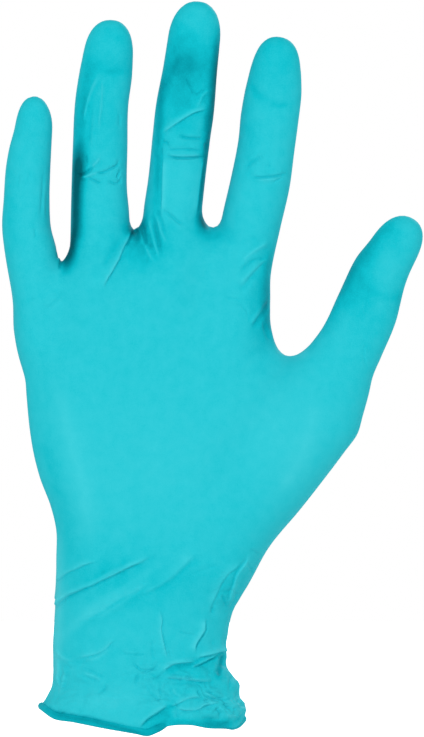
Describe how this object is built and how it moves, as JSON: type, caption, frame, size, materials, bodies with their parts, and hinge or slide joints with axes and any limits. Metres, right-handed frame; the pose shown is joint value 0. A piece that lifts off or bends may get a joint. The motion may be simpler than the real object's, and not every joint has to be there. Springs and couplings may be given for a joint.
{
  "type": "disposable glove",
  "caption": "Thin stretchy examination glove in its worn form, with open fingers, loose folded cuff and rolled hem.",
  "frame": {"origin": "middle of the wrist, inside the hollow", "axes": "+Z from the wrist to the fingertips, -Y out of the palm, +X towards the thumb"},
  "size_m": [0.1372, 0.0498, 0.2401],
  "materials": {
    "latex_film": "matte, soft sheen"
  },
  "bodies": {
    "root": {"glove": "latex_film"}
  },
  "joints": []
}
